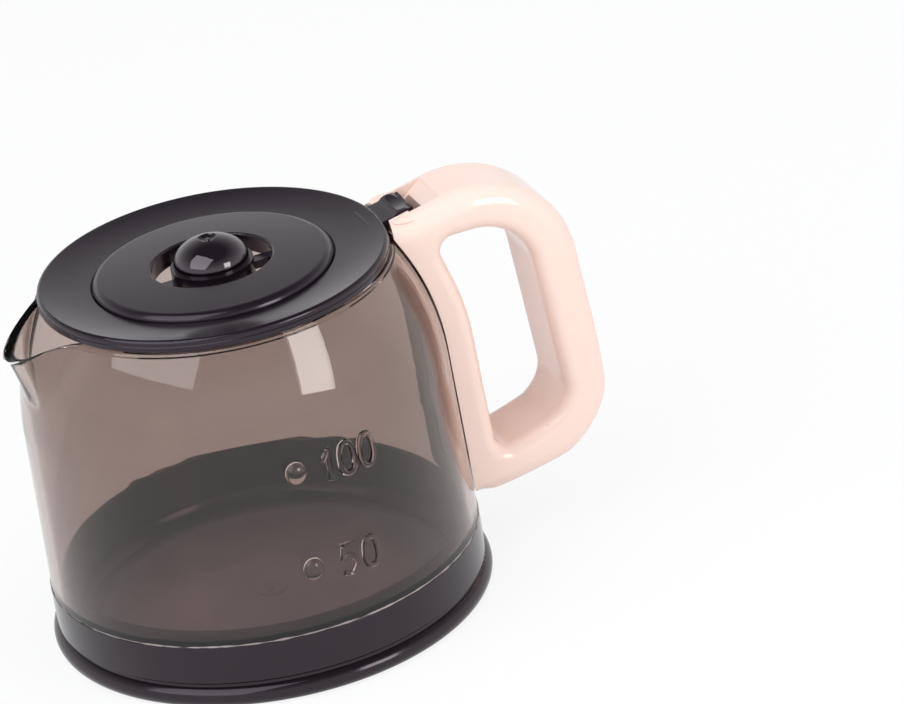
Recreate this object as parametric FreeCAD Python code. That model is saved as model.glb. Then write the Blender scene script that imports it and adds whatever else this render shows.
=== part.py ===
import FreeCAD, Part
import math
import os

from FreeCAD import Vector

# Toy coffee jug: a smoky clear body welded to a dark base cup, a cream handle, and a dark lid
# that swings on two trunnions between the handle's ears.
# Lengths are millimetres. Z is the jug's axis, the handle points along +X and the spout along -X.
# The origin is the centre of the flat foot, and everything mirrors about the XZ plane.

# Clear body: a slightly tapered wall that turns into a shoulder arc up to the rim
SEAM_Z = 10.4
SEAM_RADIUS = 33.85
SHOULDER_Z = 36.0
SHOULDER_RADIUS = 33.35
RIM_Z = 57.0
RIM_RADIUS = 27.8
BODY_WALL = 1.4

# Pouring spout: a wide V with a rounded keel that leans outwards
SPOUT_TIP_REACH = 36.1
SPOUT_ROOT_Z = 45.0
SPOUT_ROOT_REACH = 31.9
SPOUT_TIP_ROUND = 2.4
SPOUT_ROOT_ROUND = 6.5
SPOUT_MOUTH_WIDTH = 23.6
SPOUT_DIP = 3.0

# Base cup: band, foot bead, and a spigot that stands inside the clear wall
BAND_RADIUS = SEAM_RADIUS + 0.15
BAND_EDGE_ROUND = 0.2
BEAD_RADIUS = BAND_RADIUS + 0.85
BEAD_HEIGHT = 3.3
BEAD_FOOT_INSET = 1.0
GROOVE_HEIGHT = 0.5
GROOVE_DEPTH = 0.35
GROOVE_CHAMFER = 0.35
FLOOR_Z = 2.2
CUP_WALL = 1.35
SPIGOT_FIT = 0.08
SPIGOT_HEIGHT = 1.6
SPIGOT_CHAMFER = 0.3
FLOOR_FILLET = 3.6
FOOT_GROOVE_OUTER = 29.0
FOOT_GROOVE_INNER = 26.0
FOOT_GROOVE_DEPTH = 0.6
GATE_DIMPLE_RADIUS = 2.5
GATE_DIMPLE_DEPTH = 0.35
GATE_DIMPLE_SAG = 0.1
GATE_PIP_RADIUS = 0.62
GATE_PIP_TAPER = 0.17

# Handle: one moulding, an open D with a bar against the body and two hinge ears on top
HANDLE_WIDTH = 14.8
HANDLE_REACH = 58.9
HANDLE_BOTTOM_Z = 9.2
HANDLE_FRONT_TOP_Z = 58.7
HANDLE_TOP_SLOPE = 0.19
HANDLE_BOTTOM_SLOPE = 0.13
HANDLE_SIDE_LEAN = 0.085
GRIP_THICKNESS = 7.7
LOWER_ARM_THICKNESS = 7.0
UPPER_ARM_THICKNESS = 7.5
BAR_THICKNESS = 4.4
HANDLE_TOP_ROUND = 16.5
HANDLE_HEEL_ROUND = 11.0
HOLE_CORNER_ROUND = 2.2
HOLE_HEEL_ROUND = 5.5
OUTER_EDGE_ROUND = 3.4
HOLE_EDGE_ROUND = 2.4
HANDLE_GAP = 0.25
BAR_WAIST_RISE = 6.0
BAR_WAIST_ROUND = 40.0

# Rail moulded on the body, buried in a groove in the back of the handle
RAIL_WIDTH = 6.0
RAIL_PROUD = 1.6
RAIL_LOW_Z = 15.0
RAIL_HIGH_Z = 47.0
RAIL_FIT = 0.08

# Hinge
HINGE_X = 30.6
HINGE_Z = 57.6
TRUNNION_RADIUS = 1.5
TRUNNION_LENGTH = 1.5
TRUNNION_FIT = 0.05
TRUNNION_END_GAP = 0.2
LUG_WIDTH = 7.0
LUG_SIDE_GAP = 0.25
LUG_END_RISE = 2.25
LUG_END_REACH = 1.5
LUG_SADDLE = 0.45
LUG_SADDLE_TILT = 0.1
LUG_ROOT_OVERLAP = 2.8
LUG_ROOT_DROP = 0.35
LUG_BACK_SAG = 0.25
LUG_BARREL_RADIUS = 2.3
SLOT_CLEARANCE = 0.45
SLOT_END_GAP = 1.9
LEAD_GROOVE_DEPTH = 0.6
LEAD_GROOVE_SHARE = 0.8
LEAD_GROOVE_RISE_ANGLE = 38.0

# Lid ring
LID_RADIUS = 27.4
LID_THICKNESS = 1.9
LID_SEAT_GAP = 0.1
LID_EDGE_ROUND = 0.6
LID_EDGE_STEP = 0.1
LID_LOWER_CHAMFER = 0.2
LID_DISH_DEPTH = 1.1
LID_DISH_SAG = 0.15
LOCATING_RING_HEIGHT = 1.2
LOCATING_RING_WALL = 1.4
LOCATING_RING_GAP = 0.55
LOCATING_RING_CHAMFER = 0.3
SEAT_CHAMFER = 0.25
LEDGE_DROP = 0.6
LEDGE_WIDTH = 2.4
LEDGE_THICKNESS = 0.9

# Lid insert: the raised disc with its round opening, two arms and a hub
INSERT_RADIUS = 18.75
INSERT_FIT = 0.08
INSERT_EDGE_ROUND = 1.25
INSERT_CROWN = 0.35
INSERT_CROWN_SHARE = 0.62
INSERT_PLATE = 1.5
INSERT_SKIRT_GAP = 0.1
OPENING_RADIUS = 9.4
OPENING_ROUND = 0.35
COLLAR_WALL = 1.2
COLLAR_DEPTH = 2.85
HUB_RADIUS = 6.45
HUB_DEPTH = 2.8
HUB_BORE = 4.0
HUB_FLOOR = 1.0
ARM_WIDTH = 2.2
ARM_HEIGHT = 1.3
ARM_ROOT = 0.5

# Knob: a low dome with a moulding dimple on top
KNOB_RADIUS = 5.86
KNOB_DOME_HEIGHT = 4.0
KNOB_SKIRT = 0.3
KNOB_STEM_FIT = 0.05
KNOB_DIMPLE_RADIUS = 1.6
KNOB_DIMPLE_DEPTH = 0.45
KNOB_DIMPLE_SAG = 0.13
KNOB_PIP_RADIUS = 0.5
KNOB_PIP_TAPER = 0.2
KNOB_PIP_HEIGHT = 0.27
KNOB_PIP_CROWN = 0.04

# Worked-out places that more than one piece uses
LID_BOTTOM_Z = RIM_Z + LID_SEAT_GAP
LID_TOP_Z = LID_BOTTOM_Z + LID_THICKNESS
DISH_Z = LID_TOP_Z - LID_DISH_DEPTH
LEDGE_Z = DISH_Z - LEDGE_DROP
INSERT_TOP_Z = LID_TOP_Z + INSERT_CROWN
CHEEK_INNER = LUG_WIDTH / 2 + LUG_SIDE_GAP
SLOT_FLOOR_Z = HINGE_Z - math.hypot(LUG_END_REACH, LUG_END_RISE) - SLOT_CLEARANCE
SLOT_END_X = HINGE_X + LUG_END_REACH + SLOT_END_GAP
SHOULDER_DROP = SHOULDER_RADIUS - RIM_RADIUS
SHOULDER_RISE = RIM_Z - SHOULDER_Z
SHOULDER_ARC = (SHOULDER_DROP ** 2 + SHOULDER_RISE ** 2) / (2 * SHOULDER_DROP)
OVERCUT = 5.0


class Outline:
    """A closed outline in the XZ plane, drawn edge by edge."""

    def __init__(self, x, z):
        self.first = Vector(x, 0, z)
        self.last = self.first
        self.edges = []

    def line(self, x, z):
        end = Vector(x, 0, z)
        self.edges.append(Part.LineSegment(self.last, end).toShape())
        self.last = end
        return self

    def arc(self, through_x, through_z, x, z):
        end = Vector(x, 0, z)
        middle = Vector(through_x, 0, through_z)
        self.edges.append(Part.Arc(self.last, middle, end).toShape())
        self.last = end
        return self

    def quarter_ellipse(self, centre_z, height, r, z):
        """Follows an ellipse about the Z axis, from its widest point up to radius r."""
        centre = Vector(0, 0, centre_z)
        ellipse = Part.Ellipse(self.last, Vector(0, 0, centre_z + height), centre)
        end = Vector(r, 0, z)
        start_parameter = ellipse.parameter(self.last)
        end_parameter = ellipse.parameter(end)
        self.edges.append(Part.ArcOfEllipse(ellipse, start_parameter, end_parameter).toShape())
        self.last = end
        return self

    def face(self):
        if (self.last - self.first).Length > 1e-6:
            self.line(self.first.x, self.first.z)
        return Part.Face(Part.Wire(self.edges))

    def revolved(self):
        solid = self.face().revolve(Vector(0, 0, 0), Vector(0, 0, 1), 360)
        return outward(solid)

    def extruded(self, width):
        """A prism centred on the XZ plane."""
        face = self.face()
        face.translate(Vector(0, -width / 2, 0))
        return outward(face.extrude(Vector(0, width, 0)))


def outward(shape):
    """The same solid with its faces turned outwards."""
    solid = shape.Solids[0] if shape.Solids else Part.Solid(shape)
    if solid.Volume < 0:
        solid.reverse()
    return solid


def block(x0, x1, half_width, z0, z1):
    """A box between two x and two z values, centred on the XZ plane."""
    return Part.makeBox(x1 - x0, 2 * half_width, z1 - z0, Vector(x0, -half_width, z0))


def disc(radius, z0, z1):
    """A cylinder on the jug's axis."""
    return Part.makeCylinder(radius, z1 - z0, Vector(0, 0, z0))


def cross_rod(radius, y0, y1):
    """A cylinder on the hinge axis between two y values."""
    return Part.makeCylinder(radius, y1 - y0, Vector(HINGE_X, y0, HINGE_Z), Vector(0, 1, 0))


def body_radius(z, inset=0.0):
    """Radius of the clear body's outer skin at height z, moved inwards by inset."""
    if z <= SHOULDER_Z:
        share = (z - SEAM_Z) / (SHOULDER_Z - SEAM_Z)
        return SEAM_RADIUS + share * (SHOULDER_RADIUS - SEAM_RADIUS) - inset
    centre = SHOULDER_RADIUS - SHOULDER_ARC
    return centre + math.sqrt((SHOULDER_ARC - inset) ** 2 - (z - SHOULDER_Z) ** 2)


def vessel(inset, low, high):
    """The body's outer form as a full solid, moved inwards by inset, between two heights."""
    middle = (SHOULDER_Z + high) / 2
    outline = Outline(0, low)
    outline.line(body_radius(low, inset), low)
    outline.line(body_radius(SHOULDER_Z, inset), SHOULDER_Z)
    outline.arc(body_radius(middle, inset), middle, body_radius(high, inset), high)
    outline.line(0, high)
    return outline.revolved()


def v_section(tip_reach, tip_round, inset, z):
    """A V seen from above: two sides tangent to a round tip, closed well inside the jug."""
    centre_x = tip_reach - tip_round
    mouth_x = spout_mouth_x() - (SPOUT_TIP_REACH - tip_reach)
    mouth_half = SPOUT_MOUTH_WIDTH / 2
    span = math.hypot(centre_x - mouth_x, mouth_half)
    lean = math.atan2(mouth_half, centre_x - mouth_x) - math.asin(tip_round / span)
    side = tip_round - inset
    touch_x = centre_x + side * math.sin(lean)
    touch_y = side * math.cos(lean)
    inner_x = mouth_x / 2
    inner_y = touch_y + (touch_x - inner_x) * math.tan(lean)
    near_mouth = Vector(-inner_x, -inner_y, z)
    near_touch = Vector(-touch_x, -touch_y, z)
    tip = Vector(-(tip_reach - inset), 0, z)
    far_touch = Vector(-touch_x, touch_y, z)
    far_mouth = Vector(-inner_x, inner_y, z)
    edges = [
        Part.LineSegment(near_mouth, near_touch).toShape(),
        Part.Arc(near_touch, tip, far_touch).toShape(),
        Part.LineSegment(far_touch, far_mouth).toShape(),
        Part.LineSegment(far_mouth, near_mouth).toShape(),
    ]
    return Part.Wire(edges)


def spout_mouth_x():
    """Distance from the axis at which the spout's sides leave the round rim."""
    return math.sqrt(RIM_RADIUS ** 2 - (SPOUT_MOUTH_WIDTH / 2) ** 2)


def spout_form(inset):
    """The leaning spout as a full solid from its root up to the rim, moved inwards by inset."""
    low = v_section(SPOUT_ROOT_REACH, SPOUT_ROOT_ROUND, inset, SPOUT_ROOT_Z)
    high = v_section(SPOUT_TIP_REACH, SPOUT_TIP_ROUND, inset, RIM_Z)
    return outward(Part.makeLoft([low, high], True, True))


def spout_trim():
    """Everything above the sloping lip, which falls from the rim to the spout's tip."""
    mouth_x = spout_mouth_x()
    slope = SPOUT_DIP / (SPOUT_TIP_REACH - mouth_x)
    far_x = SPOUT_TIP_REACH + OVERCUT
    outline = Outline(-mouth_x, RIM_Z)
    outline.line(-far_x, RIM_Z - slope * (far_x - mouth_x))
    outline.line(-far_x, RIM_Z + OVERCUT)
    outline.line(-mouth_x, RIM_Z + OVERCUT)
    return outline.extruded(2 * RIM_RADIUS)


def rail_form(clearance):
    """The upright rail behind the handle, grown by a clearance on its outer faces."""
    low = RAIL_LOW_Z - clearance
    high = RAIL_HIGH_Z + clearance
    skin = vessel(-(RAIL_PROUD + clearance), low, high)
    column = block(0, HANDLE_REACH, RAIL_WIDTH / 2 + clearance, low, high)
    return skin.common(column)


def make_jug_body():
    """Clear shell: the outer forms less the inner forms, with a sloping lip at the spout."""
    outside = vessel(0, SEAM_Z, RIM_Z).fuse(spout_form(0)).fuse(rail_form(0))
    high = RIM_Z + OVERCUT / 2
    inside = vessel(BODY_WALL, SEAM_Z - OVERCUT, high).fuse(spout_form(BODY_WALL))
    shell = outside.cut(inside).cut(spout_trim()).removeSplitter()
    return shell.Solids[0]


def make_base_cup():
    """Dark cup under the clear body: foot bead, groove, band, shoulder and spigot."""
    spigot_outer = SEAM_RADIUS - BODY_WALL - SPIGOT_FIT
    spigot_inner = spigot_outer - CUP_WALL
    spigot_top = SEAM_Z + SPIGOT_HEIGHT
    groove_radius = BAND_RADIUS - GROOVE_DEPTH
    groove_top = BEAD_HEIGHT + GROOVE_HEIGHT
    bead_middle = BEAD_HEIGHT / 2
    bead_foot = BAND_RADIUS - BEAD_FOOT_INSET
    fillet_near = FLOOR_FILLET * (1 - math.sqrt(0.5))
    edge_turn = BAND_EDGE_ROUND * (1 - math.sqrt(0.5))
    dimple_z = FLOOR_Z - GATE_DIMPLE_DEPTH
    outline = Outline(0, 0)
    outline.line(FOOT_GROOVE_INNER, 0)
    outline.line(FOOT_GROOVE_INNER, FOOT_GROOVE_DEPTH)
    outline.line(FOOT_GROOVE_OUTER, FOOT_GROOVE_DEPTH)
    outline.line(FOOT_GROOVE_OUTER, 0)
    outline.line(bead_foot, 0)
    outline.arc(BEAD_RADIUS, bead_middle, groove_radius, BEAD_HEIGHT)
    outline.line(groove_radius, groove_top)
    outline.line(BAND_RADIUS, groove_top + GROOVE_CHAMFER)
    outline.line(BAND_RADIUS, SEAM_Z - BAND_EDGE_ROUND)
    outline.arc(BAND_RADIUS - edge_turn, SEAM_Z - edge_turn, BAND_RADIUS - BAND_EDGE_ROUND, SEAM_Z)
    outline.line(spigot_outer, SEAM_Z)
    outline.line(spigot_outer, spigot_top - SPIGOT_CHAMFER)
    outline.line(spigot_outer - SPIGOT_CHAMFER, spigot_top)
    outline.line(spigot_inner, spigot_top)
    outline.line(spigot_inner, FLOOR_Z + FLOOR_FILLET)
    outline.arc(
        spigot_inner - fillet_near,
        FLOOR_Z + fillet_near,
        spigot_inner - FLOOR_FILLET,
        FLOOR_Z,
    )
    outline.line(GATE_DIMPLE_RADIUS, FLOOR_Z)
    middle_z = (FLOOR_Z + dimple_z) / 2 - GATE_DIMPLE_SAG
    outline.arc((GATE_DIMPLE_RADIUS + GATE_PIP_RADIUS) / 2, middle_z, GATE_PIP_RADIUS, dimple_z)
    outline.line(GATE_PIP_RADIUS - GATE_PIP_TAPER, FLOOR_Z)
    outline.line(0, FLOOR_Z)
    return outline.revolved()


def rounded_outline(corners):
    """A closed XZ outline through (x, z, radius) corners, each with a tangent arc."""
    points = []
    count = len(corners)
    for index in range(count):
        before = Vector(corners[index - 1][0], 0, corners[index - 1][1])
        here = Vector(corners[index][0], 0, corners[index][1])
        after = Vector(corners[(index + 1) % count][0], 0, corners[(index + 1) % count][1])
        radius = corners[index][2]
        back = (before - here).normalize()
        ahead = (after - here).normalize()
        half = back.getAngle(ahead) / 2
        setback = radius / math.tan(half)
        inward = (back + ahead).normalize()
        middle = here + inward * (radius / math.sin(half) - radius)
        points.append((here + back * setback, middle, here + ahead * setback, radius))
    outline = Outline(points[0][2].x, points[0][2].z)
    for start, middle, end, radius in points[1:] + points[:1]:
        outline.line(start.x, start.z)
        if radius > 0:
            outline.arc(middle.x, middle.z, end.x, end.z)
    return outline


def handle_side_x(z, depth):
    """X of the grip's outer face at height z, moved inwards by depth."""
    return HANDLE_REACH - depth - HANDLE_SIDE_LEAN * (z - SEAM_Z - HANDLE_HEEL_ROUND)


def handle_blank():
    """The D-shaped prism with rounded edges, before it is fitted to the jug."""
    front_x = RIM_RADIUS - 2 * OUTER_EDGE_ROUND
    top_z = HANDLE_FRONT_TOP_Z + HANDLE_TOP_SLOPE * (HANDLE_REACH - RIM_RADIUS)
    heel_z = HANDLE_BOTTOM_Z + HANDLE_BOTTOM_SLOPE * (HANDLE_REACH - BAND_RADIUS)
    front_top = HANDLE_FRONT_TOP_Z + HANDLE_TOP_SLOPE * (front_x - RIM_RADIUS)
    front_low = HANDLE_BOTTOM_Z + HANDLE_BOTTOM_SLOPE * (front_x - BAND_RADIUS)
    outer = rounded_outline([
        (front_x, front_top, 0),
        (handle_side_x(top_z, 0), top_z, HANDLE_TOP_ROUND),
        (handle_side_x(heel_z, 0), heel_z, HANDLE_HEEL_ROUND),
        (front_x, front_low, 0),
    ])
    blank = outer.extruded(HANDLE_WIDTH)
    rims = []
    for edge in blank.Edges:
        flat = abs(abs(edge.BoundBox.YMin) - HANDLE_WIDTH / 2) < 1e-3
        same_side = edge.BoundBox.YLength < 1e-3
        if flat and same_side and edge.BoundBox.XMax > front_x + 0.1:
            rims.append(edge)
    return blank.makeFillet(OUTER_EDGE_ROUND, rims)


def finger_hole():
    """The D-shaped opening, with edges that flare into the handle's side faces."""
    bar = BAR_THICKNESS + HANDLE_GAP
    centre_x = (RIM_RADIUS + HANDLE_REACH) / 2
    top_z = HANDLE_FRONT_TOP_Z + HANDLE_TOP_SLOPE * (centre_x - RIM_RADIUS) - UPPER_ARM_THICKNESS
    low_z = HANDLE_BOTTOM_Z + LOWER_ARM_THICKNESS
    low_right = low_z + HANDLE_BOTTOM_SLOPE * (HANDLE_REACH - BAND_RADIUS)
    waist_z = SHOULDER_Z + BAR_WAIST_RISE
    corners = [
        (body_radius(top_z) + bar, top_z, HOLE_CORNER_ROUND),
        (handle_side_x(top_z, GRIP_THICKNESS), top_z, HANDLE_TOP_ROUND - UPPER_ARM_THICKNESS),
        (handle_side_x(low_z, GRIP_THICKNESS), low_right, HOLE_HEEL_ROUND),
        (body_radius(low_z) + bar, low_z, HOLE_CORNER_ROUND),
        (body_radius(waist_z) + bar, waist_z, BAR_WAIST_ROUND),
    ]
    return rounded_outline(corners).extruded(HANDLE_WIDTH + 2)


def make_handle():
    """Cream handle: blank, finger hole, concave back, rail groove, hinge slot and ear sockets."""
    handle = handle_blank().cut(finger_hole())
    hole_edges = []
    for edge in handle.Edges:
        box = edge.BoundBox
        on_side = abs(abs(box.YMin) - HANDLE_WIDTH / 2) < 1e-3 and box.YLength < 1e-3
        inside = box.XMax < HANDLE_REACH - GRIP_THICKNESS + 0.5 and box.XMin > RIM_RADIUS + 2
        middle_z = (box.ZMin + box.ZMax) / 2
        in_height = HANDLE_BOTTOM_Z + 3 < middle_z < HANDLE_FRONT_TOP_Z - 3
        if on_side and inside and in_height:
            hole_edges.append(edge)
    handle = handle.makeFillet(HOLE_EDGE_ROUND, hole_edges)
    handle = handle.cut(jug_envelope(HANDLE_GAP))
    handle = handle.cut(rail_form(RAIL_FIT))
    slot = block(0, SLOT_END_X, CHEEK_INNER, SLOT_FLOOR_Z, HANDLE_REACH * 2)
    handle = handle.cut(slot)
    socket_end = CHEEK_INNER + TRUNNION_LENGTH + TRUNNION_END_GAP
    handle = handle.cut(cross_rod(TRUNNION_RADIUS + TRUNNION_FIT, -socket_end, socket_end))
    handle = handle.cut(lead_grooves())
    return handle.Solids[0]


def lead_grooves():
    """Shallow ramps in both ears that guide the trunnions down into their sockets."""
    half = TRUNNION_RADIUS * LEAD_GROOVE_SHARE
    length = SLOT_END_X - HINGE_X + 2 * TRUNNION_RADIUS
    depth = CHEEK_INNER + LEAD_GROOVE_DEPTH
    ramp = Part.makeBox(length, 2 * depth, 2 * half, Vector(0, -depth, -half))
    ramp.rotate(Vector(0, 0, 0), Vector(0, 1, 0), -LEAD_GROOVE_RISE_ANGLE)
    ramp.translate(Vector(HINGE_X, 0, HINGE_Z))
    return ramp


def jug_envelope(gap):
    """Space that the jug and its swinging lid take up, grown by a gap, for the handle's back."""
    top = HANDLE_FRONT_TOP_Z + 2 * OVERCUT
    middle = (SHOULDER_Z + RIM_Z) / 2
    band = BAND_RADIUS + gap
    outline = Outline(0, -OVERCUT)
    outline.line(band, -OVERCUT)
    outline.line(band, SEAM_Z + gap)
    outline.line(body_radius(SEAM_Z + gap, -gap), SEAM_Z + gap)
    outline.line(body_radius(SHOULDER_Z, -gap), SHOULDER_Z)
    outline.arc(body_radius(middle, -gap), middle, body_radius(RIM_Z, -gap), RIM_Z)
    outline.line(body_radius(RIM_Z, -gap), top)
    outline.line(0, top)
    return outline.revolved()


def make_lug():
    """The lid's hinge lug with a saddle top, its barrel and two trunnions."""
    root_x = LID_RADIUS - LUG_ROOT_OVERLAP
    end_x = HINGE_X + LUG_END_REACH
    end_z = HINGE_Z + LUG_END_RISE
    root_z = LID_TOP_Z - LUG_ROOT_DROP
    low_z = LID_BOTTOM_Z + LID_LOWER_CHAMFER / 2
    middle_x = (root_x + end_x) / 2
    outline = Outline(root_x, low_z)
    outline.line(end_x, low_z)
    outline.line(end_x, end_z)
    outline.arc(middle_x, (root_z + end_z) / 2 - LUG_BACK_SAG, root_x, root_z)
    lug = outline.extruded(LUG_WIDTH)
    half = LUG_WIDTH / 2
    barrel = cross_rod(LUG_BARREL_RADIUS, -half, half)
    lug = lug.fuse(barrel)
    saddle_radius = (half ** 2 + LUG_SADDLE ** 2) / (2 * LUG_SADDLE)
    saddle = Part.makeCylinder(
        saddle_radius,
        end_x - LID_RADIUS + OVERCUT,
        Vector(middle_x, 0, end_z + saddle_radius - LUG_SADDLE),
        Vector(1, 0, LUG_SADDLE_TILT),
    )
    lug = lug.cut(saddle)
    reach = CHEEK_INNER + TRUNNION_LENGTH
    return lug.fuse(cross_rod(TRUNNION_RADIUS, -reach, reach)).removeSplitter()


def make_lid_ring():
    """Dished outer ring of the lid with a locating ring below, a ledge inside, and the lug."""
    rim_inner = body_radius(RIM_Z, BODY_WALL)
    locate_outer = rim_inner - LOCATING_RING_GAP
    locate_inner = locate_outer - LOCATING_RING_WALL
    locate_low = LID_BOTTOM_Z - LOCATING_RING_HEIGHT
    underside_z = LEDGE_Z - LEDGE_THICKNESS
    ledge_inner = INSERT_RADIUS - LEDGE_WIDTH
    seat = INSERT_RADIUS + INSERT_FIT
    edge = LID_RADIUS - LID_EDGE_STEP
    edge_turn = LID_EDGE_ROUND * (1 - math.sqrt(0.5))
    step_z = (LID_BOTTOM_Z + LID_TOP_Z) / 2
    middle_r = (seat + edge) / 2
    outline = Outline(ledge_inner, underside_z)
    outline.line(locate_inner, underside_z)
    outline.line(locate_inner, locate_low)
    outline.line(locate_outer - LOCATING_RING_CHAMFER, locate_low)
    outline.line(locate_outer, locate_low + LOCATING_RING_CHAMFER)
    outline.line(locate_outer, LID_BOTTOM_Z)
    outline.line(LID_RADIUS - LID_LOWER_CHAMFER, LID_BOTTOM_Z)
    outline.line(LID_RADIUS, LID_BOTTOM_Z + LID_LOWER_CHAMFER)
    outline.line(LID_RADIUS, step_z - LID_EDGE_STEP)
    outline.line(edge, step_z)
    outline.line(edge, LID_TOP_Z - LID_EDGE_ROUND)
    outline.arc(edge - edge_turn, LID_TOP_Z - edge_turn, edge - LID_EDGE_ROUND, LID_TOP_Z)
    outline.arc(middle_r, (LID_TOP_Z + DISH_Z) / 2 - LID_DISH_SAG, seat + SEAT_CHAMFER, DISH_Z)
    outline.line(seat, DISH_Z - SEAT_CHAMFER)
    outline.line(seat, LEDGE_Z)
    outline.line(ledge_inner, LEDGE_Z)
    return outline.revolved().fuse(make_lug()).removeSplitter().Solids[0]


def make_lid_insert():
    """Raised disc that sits on the ring's ledge, with a collared opening, arms and a hub."""
    spigot_outer = INSERT_RADIUS - LEDGE_WIDTH - INSERT_FIT
    spigot_inner = spigot_outer - COLLAR_WALL
    spigot_low = LEDGE_Z - LEDGE_THICKNESS + INSERT_SKIRT_GAP
    plate_low = LID_TOP_Z - INSERT_PLATE
    collar_outer = OPENING_RADIUS + COLLAR_WALL
    collar_low = INSERT_TOP_Z - COLLAR_DEPTH
    round_r = INSERT_RADIUS - INSERT_EDGE_ROUND
    round_turn = INSERT_EDGE_ROUND * (1 - math.sqrt(0.5))
    opening_turn = OPENING_ROUND * (1 - math.sqrt(0.5))
    crown_r = (round_r + OPENING_RADIUS) / 2
    outline = Outline(OPENING_RADIUS, collar_low)
    outline.line(collar_outer, collar_low)
    outline.line(collar_outer, plate_low)
    outline.line(spigot_inner, plate_low)
    outline.line(spigot_inner, spigot_low)
    outline.line(spigot_outer, spigot_low)
    outline.line(spigot_outer, LEDGE_Z)
    outline.line(INSERT_RADIUS, LEDGE_Z)
    outline.line(INSERT_RADIUS, LID_TOP_Z - INSERT_EDGE_ROUND)
    outline.arc(INSERT_RADIUS - round_turn, LID_TOP_Z - round_turn, round_r, LID_TOP_Z)
    outline.arc(
        crown_r,
        LID_TOP_Z + INSERT_CROWN * INSERT_CROWN_SHARE,
        OPENING_RADIUS + OPENING_ROUND,
        INSERT_TOP_Z,
    )
    outline.arc(
        OPENING_RADIUS + opening_turn,
        INSERT_TOP_Z - opening_turn,
        OPENING_RADIUS,
        INSERT_TOP_Z - OPENING_ROUND,
    )
    insert = outline.revolved()
    hub_low = LID_TOP_Z - HUB_DEPTH
    arm_end = OPENING_RADIUS + ARM_ROOT
    arms = block(-arm_end, arm_end, ARM_WIDTH / 2, hub_low, hub_low + ARM_HEIGHT)
    hub = disc(HUB_RADIUS, hub_low, LID_TOP_Z)
    bore = disc(HUB_BORE, hub_low + HUB_FLOOR, LID_TOP_Z + 1)
    return insert.fuse(arms).fuse(hub).cut(bore).removeSplitter().Solids[0]


def make_lid_knob():
    """Low dome whose stem stands in the hub, with a dimple and a pip on top."""
    stem = HUB_BORE - KNOB_STEM_FIT
    stem_low = LID_TOP_Z - HUB_DEPTH + HUB_FLOOR + KNOB_STEM_FIT
    waist_z = LID_TOP_Z + KNOB_SKIRT
    dimple_z = waist_z + KNOB_DOME_HEIGHT * math.sqrt(1 - (KNOB_DIMPLE_RADIUS / KNOB_RADIUS) ** 2)
    outline = Outline(0, stem_low)
    outline.line(stem, stem_low)
    outline.line(stem, LID_TOP_Z)
    outline.line(KNOB_RADIUS, LID_TOP_Z)
    outline.line(KNOB_RADIUS, waist_z)
    outline.quarter_ellipse(waist_z, KNOB_DOME_HEIGHT, KNOB_DIMPLE_RADIUS, dimple_z)
    hollow_z = dimple_z - KNOB_DIMPLE_DEPTH
    hollow_r = (KNOB_DIMPLE_RADIUS + KNOB_PIP_RADIUS) / 2
    outline.arc(hollow_r, (dimple_z + hollow_z) / 2 - KNOB_DIMPLE_SAG, KNOB_PIP_RADIUS, hollow_z)
    outline.line(KNOB_PIP_RADIUS - KNOB_PIP_TAPER, hollow_z + KNOB_PIP_HEIGHT)
    outline.line(0, hollow_z + KNOB_PIP_HEIGHT + KNOB_PIP_CROWN)
    return outline.revolved()


def main():
    pieces = {
        "jug_body": make_jug_body(),
        "base_cup": make_base_cup(),
        "handle": make_handle(),
        "lid_ring": make_lid_ring(),
        "lid_insert": make_lid_insert(),
        "lid_knob": make_lid_knob(),
    }
    os.makedirs("parts", exist_ok=True)
    for name, shape in pieces.items():
        shape.exportStep("parts/" + name + ".step")
        print(name, "volume", round(shape.Volume, 1), "valid", shape.isValid(), len(shape.Solids))


main()
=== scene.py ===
import math

import bmesh
import bpy
from bpy.props import FloatProperty, FloatVectorProperty, PointerProperty
from mathutils import Matrix, Vector


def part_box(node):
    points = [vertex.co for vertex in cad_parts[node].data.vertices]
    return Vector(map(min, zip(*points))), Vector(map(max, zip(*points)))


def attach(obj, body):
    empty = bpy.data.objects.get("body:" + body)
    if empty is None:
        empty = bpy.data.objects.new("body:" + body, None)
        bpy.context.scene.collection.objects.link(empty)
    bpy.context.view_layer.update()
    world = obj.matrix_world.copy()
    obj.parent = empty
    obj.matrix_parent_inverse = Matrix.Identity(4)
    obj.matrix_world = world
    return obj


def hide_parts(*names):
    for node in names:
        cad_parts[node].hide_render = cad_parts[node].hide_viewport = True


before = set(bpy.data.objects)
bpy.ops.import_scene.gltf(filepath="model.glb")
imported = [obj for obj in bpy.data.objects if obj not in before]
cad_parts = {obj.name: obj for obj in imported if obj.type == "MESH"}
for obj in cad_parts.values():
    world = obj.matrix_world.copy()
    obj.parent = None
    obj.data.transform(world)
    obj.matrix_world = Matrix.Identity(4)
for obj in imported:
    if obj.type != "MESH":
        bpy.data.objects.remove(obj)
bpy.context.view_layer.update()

bl_info = {
    "name": "Toy coffee jug",
    "version": (1, 0, 0),
    "blender": (4, 5, 0),
    "location": "View3D > Sidebar > Toy jug",
    "description": "Dresses a toy coffee jug with a clear body, a dark lid and a cream handle",
    "category": "Object",
}

MM = 0.001

# Heights and radii read from the frame
JUG_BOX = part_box("jug_body")
HANDLE_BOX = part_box("handle")
SEAM_HEIGHT = JUG_BOX[0][2]
RIM_HEIGHT = JUG_BOX[1][2]
BODY_RADIUS = JUG_BOX[1][1]
SPOUT_TIP = -JUG_BOX[0][0]
HANDLE_FAR = HANDLE_BOX[1][0]
HANDLE_LOW = HANDLE_BOX[0][2]

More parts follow.
